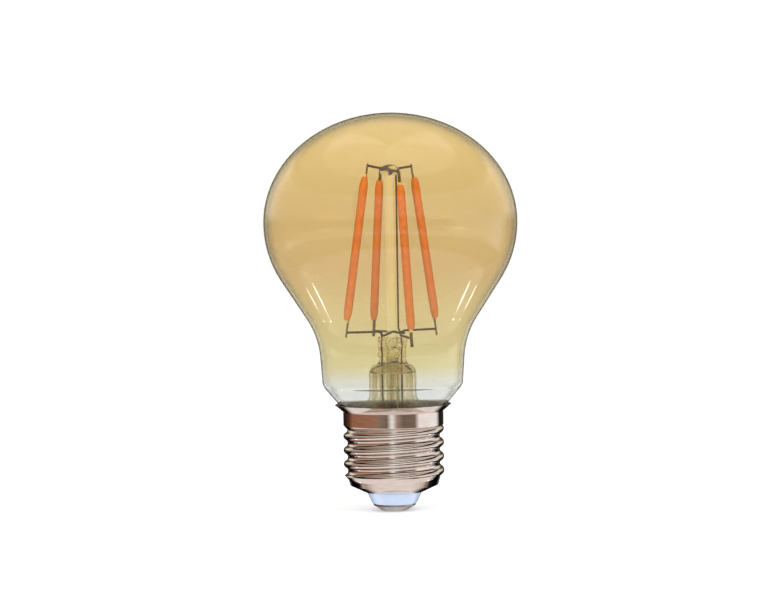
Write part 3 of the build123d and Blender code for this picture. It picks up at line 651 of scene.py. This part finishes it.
# Drawn aluminium: a clean pale can with a soft shine.
give(metal("drawn_aluminium_can", "D2D4D6", "BFC1C4", 0.25, 0.4, 1.0 * MM), "bulk_capacitor")
# Pressed ferrite: charcoal grey, dull and slightly granular.
give(solid("pressed_ferrite", "38383A", "2A2A2C", 0.7, 0.3 * MM), "inductor_core")
# Enamelled copper: orange wire whose turns catch the light in fine level lines.
copper = metal("enamelled_copper", "B5662F", "94501F", 0.25, 0.4, 0.3 * MM, (1, 1, 8))
give(copper, "inductor_winding")
# Flameproof lacquer: a grey-green dipped coat with a low gloss.
give(solid("flameproof_lacquer", "5C8A6C", "4C785C", 0.3, 0.8 * MM), "fusible_resistor")
# Tinned steel sheet: a grey box with a soft, clouded shine.
give(metal("tinned_shield", "C9CAC8", "B4B5B3", 0.25, 0.4, 1.0 * MM), "radio_shield")
# Silicone sleeve: soft off-white insulation with no sharp shine.
sleeve = solid("silicone_insulation", "ECE9E0", "E0DCD0", 0.5, 0.8 * MM)
give(sleeve, "antenna_wire", "live_wire")


# ---- Studio -------------------------------------------------------------------------------------------


LAMP_MIDDLE = Vector((0, 0, 0.055))
GLINT_RADIUS = 0.0283  # the flank's radius where the strokes lie
GLINT_DISTANCE = 0.5


def seen_by_reflection(tree):
    """1 for a ray that a polished surface throws back, 0 for one that comes straight or through glass."""
    path = add_node(tree, "ShaderNodeLightPath")
    made = add_node(
        tree,
        "ShaderNodeMath",
        {0: path.outputs["Is Glossy Ray"], 1: path.outputs["Is Transmission Ray"]},
        operation="SUBTRACT",
        use_clamp=True,
    )
    return made.outputs[0]


def plain_floor():
    """A wide pale floor, bright enough to read as white paper, that polished surfaces don't see."""
    made, tree, output = new_material("white_paper")
    paper = add_node(tree, "ShaderNodeBsdfDiffuse", {"Color": colour("F6F6F6")})
    glow = add_node(tree, "ShaderNodeEmission", {"Color": colour("FFFFFF"), "Strength": 0.1})
    lit = add_node(tree, "ShaderNodeAddShader", {0: paper.outputs["BSDF"], 1: glow.outputs["Emission"]})
    clear = add_node(tree, "ShaderNodeBsdfTransparent")
    seen = add_node(
        tree,
        "ShaderNodeMixShader",
        {0: seen_by_reflection(tree), 1: lit.outputs["Shader"], 2: clear.outputs["BSDF"]},
    )
    tree.links.new(seen.outputs["Shader"], output.inputs["Surface"])
    mesh = lathe("floor", [(0, 0), (0.5, 0), (3.0, 0)], 64)
    mesh.materials.append(made)
    floor = bpy.data.objects.new("floor", mesh)
    bpy.context.scene.collection.objects.link(floor)


def light_tent():
    """White all round for what is seen straight, and bright and dark cards for what reflections see."""
    world = bpy.data.worlds.new("light_tent")
    bpy.context.scene.world = world
    world.use_nodes = True
    tree = world.node_tree
    tree.nodes.clear()
    direction = add_node(tree, "ShaderNodeTexCoord").outputs["Generated"]
    split = add_node(tree, "ShaderNodeSeparateXYZ", {"Vector": direction})
    front = add_node(tree, "ShaderNodeMath", {0: split.outputs["Y"], 1: -1.0}, operation="MULTIPLY")
    turn = add_node(
        tree, "ShaderNodeMath", {0: split.outputs["X"], 1: front.outputs[0]}, operation="ARCTAN2"
    )
    share = add_node(
        tree, "ShaderNodeMapRange", {"Value": turn.outputs[0], "From Min": -pi, "From Max": pi}
    ).outputs["Result"]
    level = add_node(
        tree,
        "ShaderNodeValToRGB",
        {"Fac": share},
        [
            (0.0, "3A302C"),
            (0.1, "241C1A"),
            (0.16, "5A3624"),
            (0.2, "9C6A50"),
            (0.38, "A07660"),
            (0.42, "8A7A6A"),
            (0.46, "7A6A5C"),
            (0.49, "FFFFFF"),
            (0.52, "A89488"),
            (0.56, "7A685C"),
            (0.64, "7E6C60"),
            (0.67, "FFF8F6"),
            (0.82, "FFFFFF"),
            (0.86, "1A1614"),
            (0.92, "2A2422"),
            (1.0, "6A625E"),
        ],
    ).outputs["Color"]
    above = add_node(
        tree,
        "ShaderNodeValToRGB",
        {"Fac": share},
        [
            (0.0, "4A4630"),
            (0.06, "5A5238"),
            (0.08, "C8C0B0"),
            (0.12, "F8F4EC"),
            (0.16, "C0B6AE"),
            (0.2, "A89C92"),
            (0.42, "D8CAC2"),
            (0.5, "FFFFFF"),
            (0.62, "F4ECE8"),
            (0.8, "C8BCB4"),
            (0.86, "F8F4EC"),
            (0.92, "C8C0B0"),
            (0.94, "5A5238"),
            (1.0, "4A4630"),
        ],
    ).outputs["Color"]
    below = add_node(
        tree,
        "ShaderNodeValToRGB",
        {"Fac": share},
        [
            (0.0, "8A7E78"),
            (0.12, "4A3C34"),
            (0.17, "6A5A50"),
            (0.19, "FFFFFF"),
            (0.22, "FFFFFF"),
            (0.26, "A88C7E"),
            (0.4, "E8D4CC"),
            (0.5, "FFFFFF"),
            (0.65, "E8DCD8"),
            (0.77, "B8A8A0"),
            (0.79, "FFFFFF"),
            (0.82, "FFFFFF"),
            (0.86, "2A221E"),
            (1.0, "8A7E78"),
        ],
    ).outputs["Color"]
    cards = level
    for start, end, card in (
        (0.02, 0.1, above),
        (-0.16, -0.24, below),
        (-0.5, -0.62, colour("F2E8E4")),
    ):
        change = add_node(
            tree, "ShaderNodeMapRange", {"Value": split.outputs["Z"], "From Min": start, "From Max": end}
        )
        cards = add_node(
            tree,
            "ShaderNodeMix",
            {"Factor": change.outputs["Result"], "A": cards, "B": card},
            data_type="RGBA",
        ).outputs["Result"]
    height = add_node(
        tree, "ShaderNodeMapRange", {"Value": split.outputs["Z"], "From Min": -1.0, "From Max": 1.0}
    )
    rails = add_node(
        tree,
        "ShaderNodeValToRGB",
        {"Fac": height.outputs["Result"]},
        [
            (0.24, "FFFFFF"),
            (0.27, "1C1410"),
            (0.36, "1C1410"),
            (0.38, "FFFFFF"),
            (0.72, "FFFFFF"),
            (0.76, "1C1410"),
            (0.87, "1C1410"),
            (0.9, "FFFFFF"),
        ],
    )
    railed = add_node(
        tree,
        "ShaderNodeMix",
        {"Factor": 1.0, "A": cards, "B": rails.outputs["Color"]},
        data_type="RGBA",
        blend_type="MULTIPLY",
    )
    seen = add_node(
        tree,
        "ShaderNodeMix",
        {"Factor": seen_by_reflection(tree), "A": (1, 1, 1, 1), "B": railed.outputs["Result"]},
        data_type="RGBA",
    )
    sky = add_node(tree, "ShaderNodeBackground", {"Color": seen.outputs["Result"], "Strength": 1.0})
    output = add_node(tree, "ShaderNodeOutputWorld")
    tree.links.new(sky.outputs["Background"], output.inputs["Surface"])


def studio_light(name, place, target, size, power):
    """A rectangular studio light that faces a point."""
    data = bpy.data.lights.new(name, "AREA")
    data.shape = "RECTANGLE"
    data.size, data.size_y = size
    data.energy = power
    lamp = bpy.data.objects.new(name, data)
    bpy.context.scene.collection.objects.link(lamp)
    lamp.location = place
    lamp.rotation_mode = "QUATERNION"
    lamp.rotation_quaternion = (target - lamp.location).to_track_quat("-Z", "Y")
    lamp.visible_camera = False
    lamp.visible_transmission = False
    return lamp


def soft_box(name, place, size, power):
    """A broad light on the middle of the lamp that leaves no mark of its own in polished surfaces."""
    lamp = studio_light(name, place, LAMP_MIDDLE, size, power)
    lamp.visible_glossy = False


def flank_glint(name, turn, height, size, power):
    """A small lamp that shows as a short bright stroke on the flank, this far round from the front."""
    lean = radians(FLANK_ANGLE)
    away = Vector((sin(radians(turn)), -cos(radians(turn)), 0))
    spot = away * GLINT_RADIUS + Vector((0, 0, height))
    normal = away * cos(lean) - Vector((0, 0, sin(lean)))
    bounce = (spot - camera.location).normalized().reflect(normal)
    studio_light(name, spot + bounce * GLINT_DISTANCE, spot, size, power)


plain_floor()
light_tent()
soft_box("left_box", Vector((-0.55, -0.35, 0.3)), (0.12, 0.5), 3)
soft_box("right_box", Vector((0.55, -0.3, 0.3)), (0.12, 0.5), 3)
for side in (-1, 1):
    flank_glint("long_glint", side * 44, 0.0548, (0.018, 0.016), 0.009)
    flank_glint("short_glint", side * 51, 0.0538, (0.013, 0.011), 0.0035)
bpy.context.scene.view_settings.view_transform = "Standard"
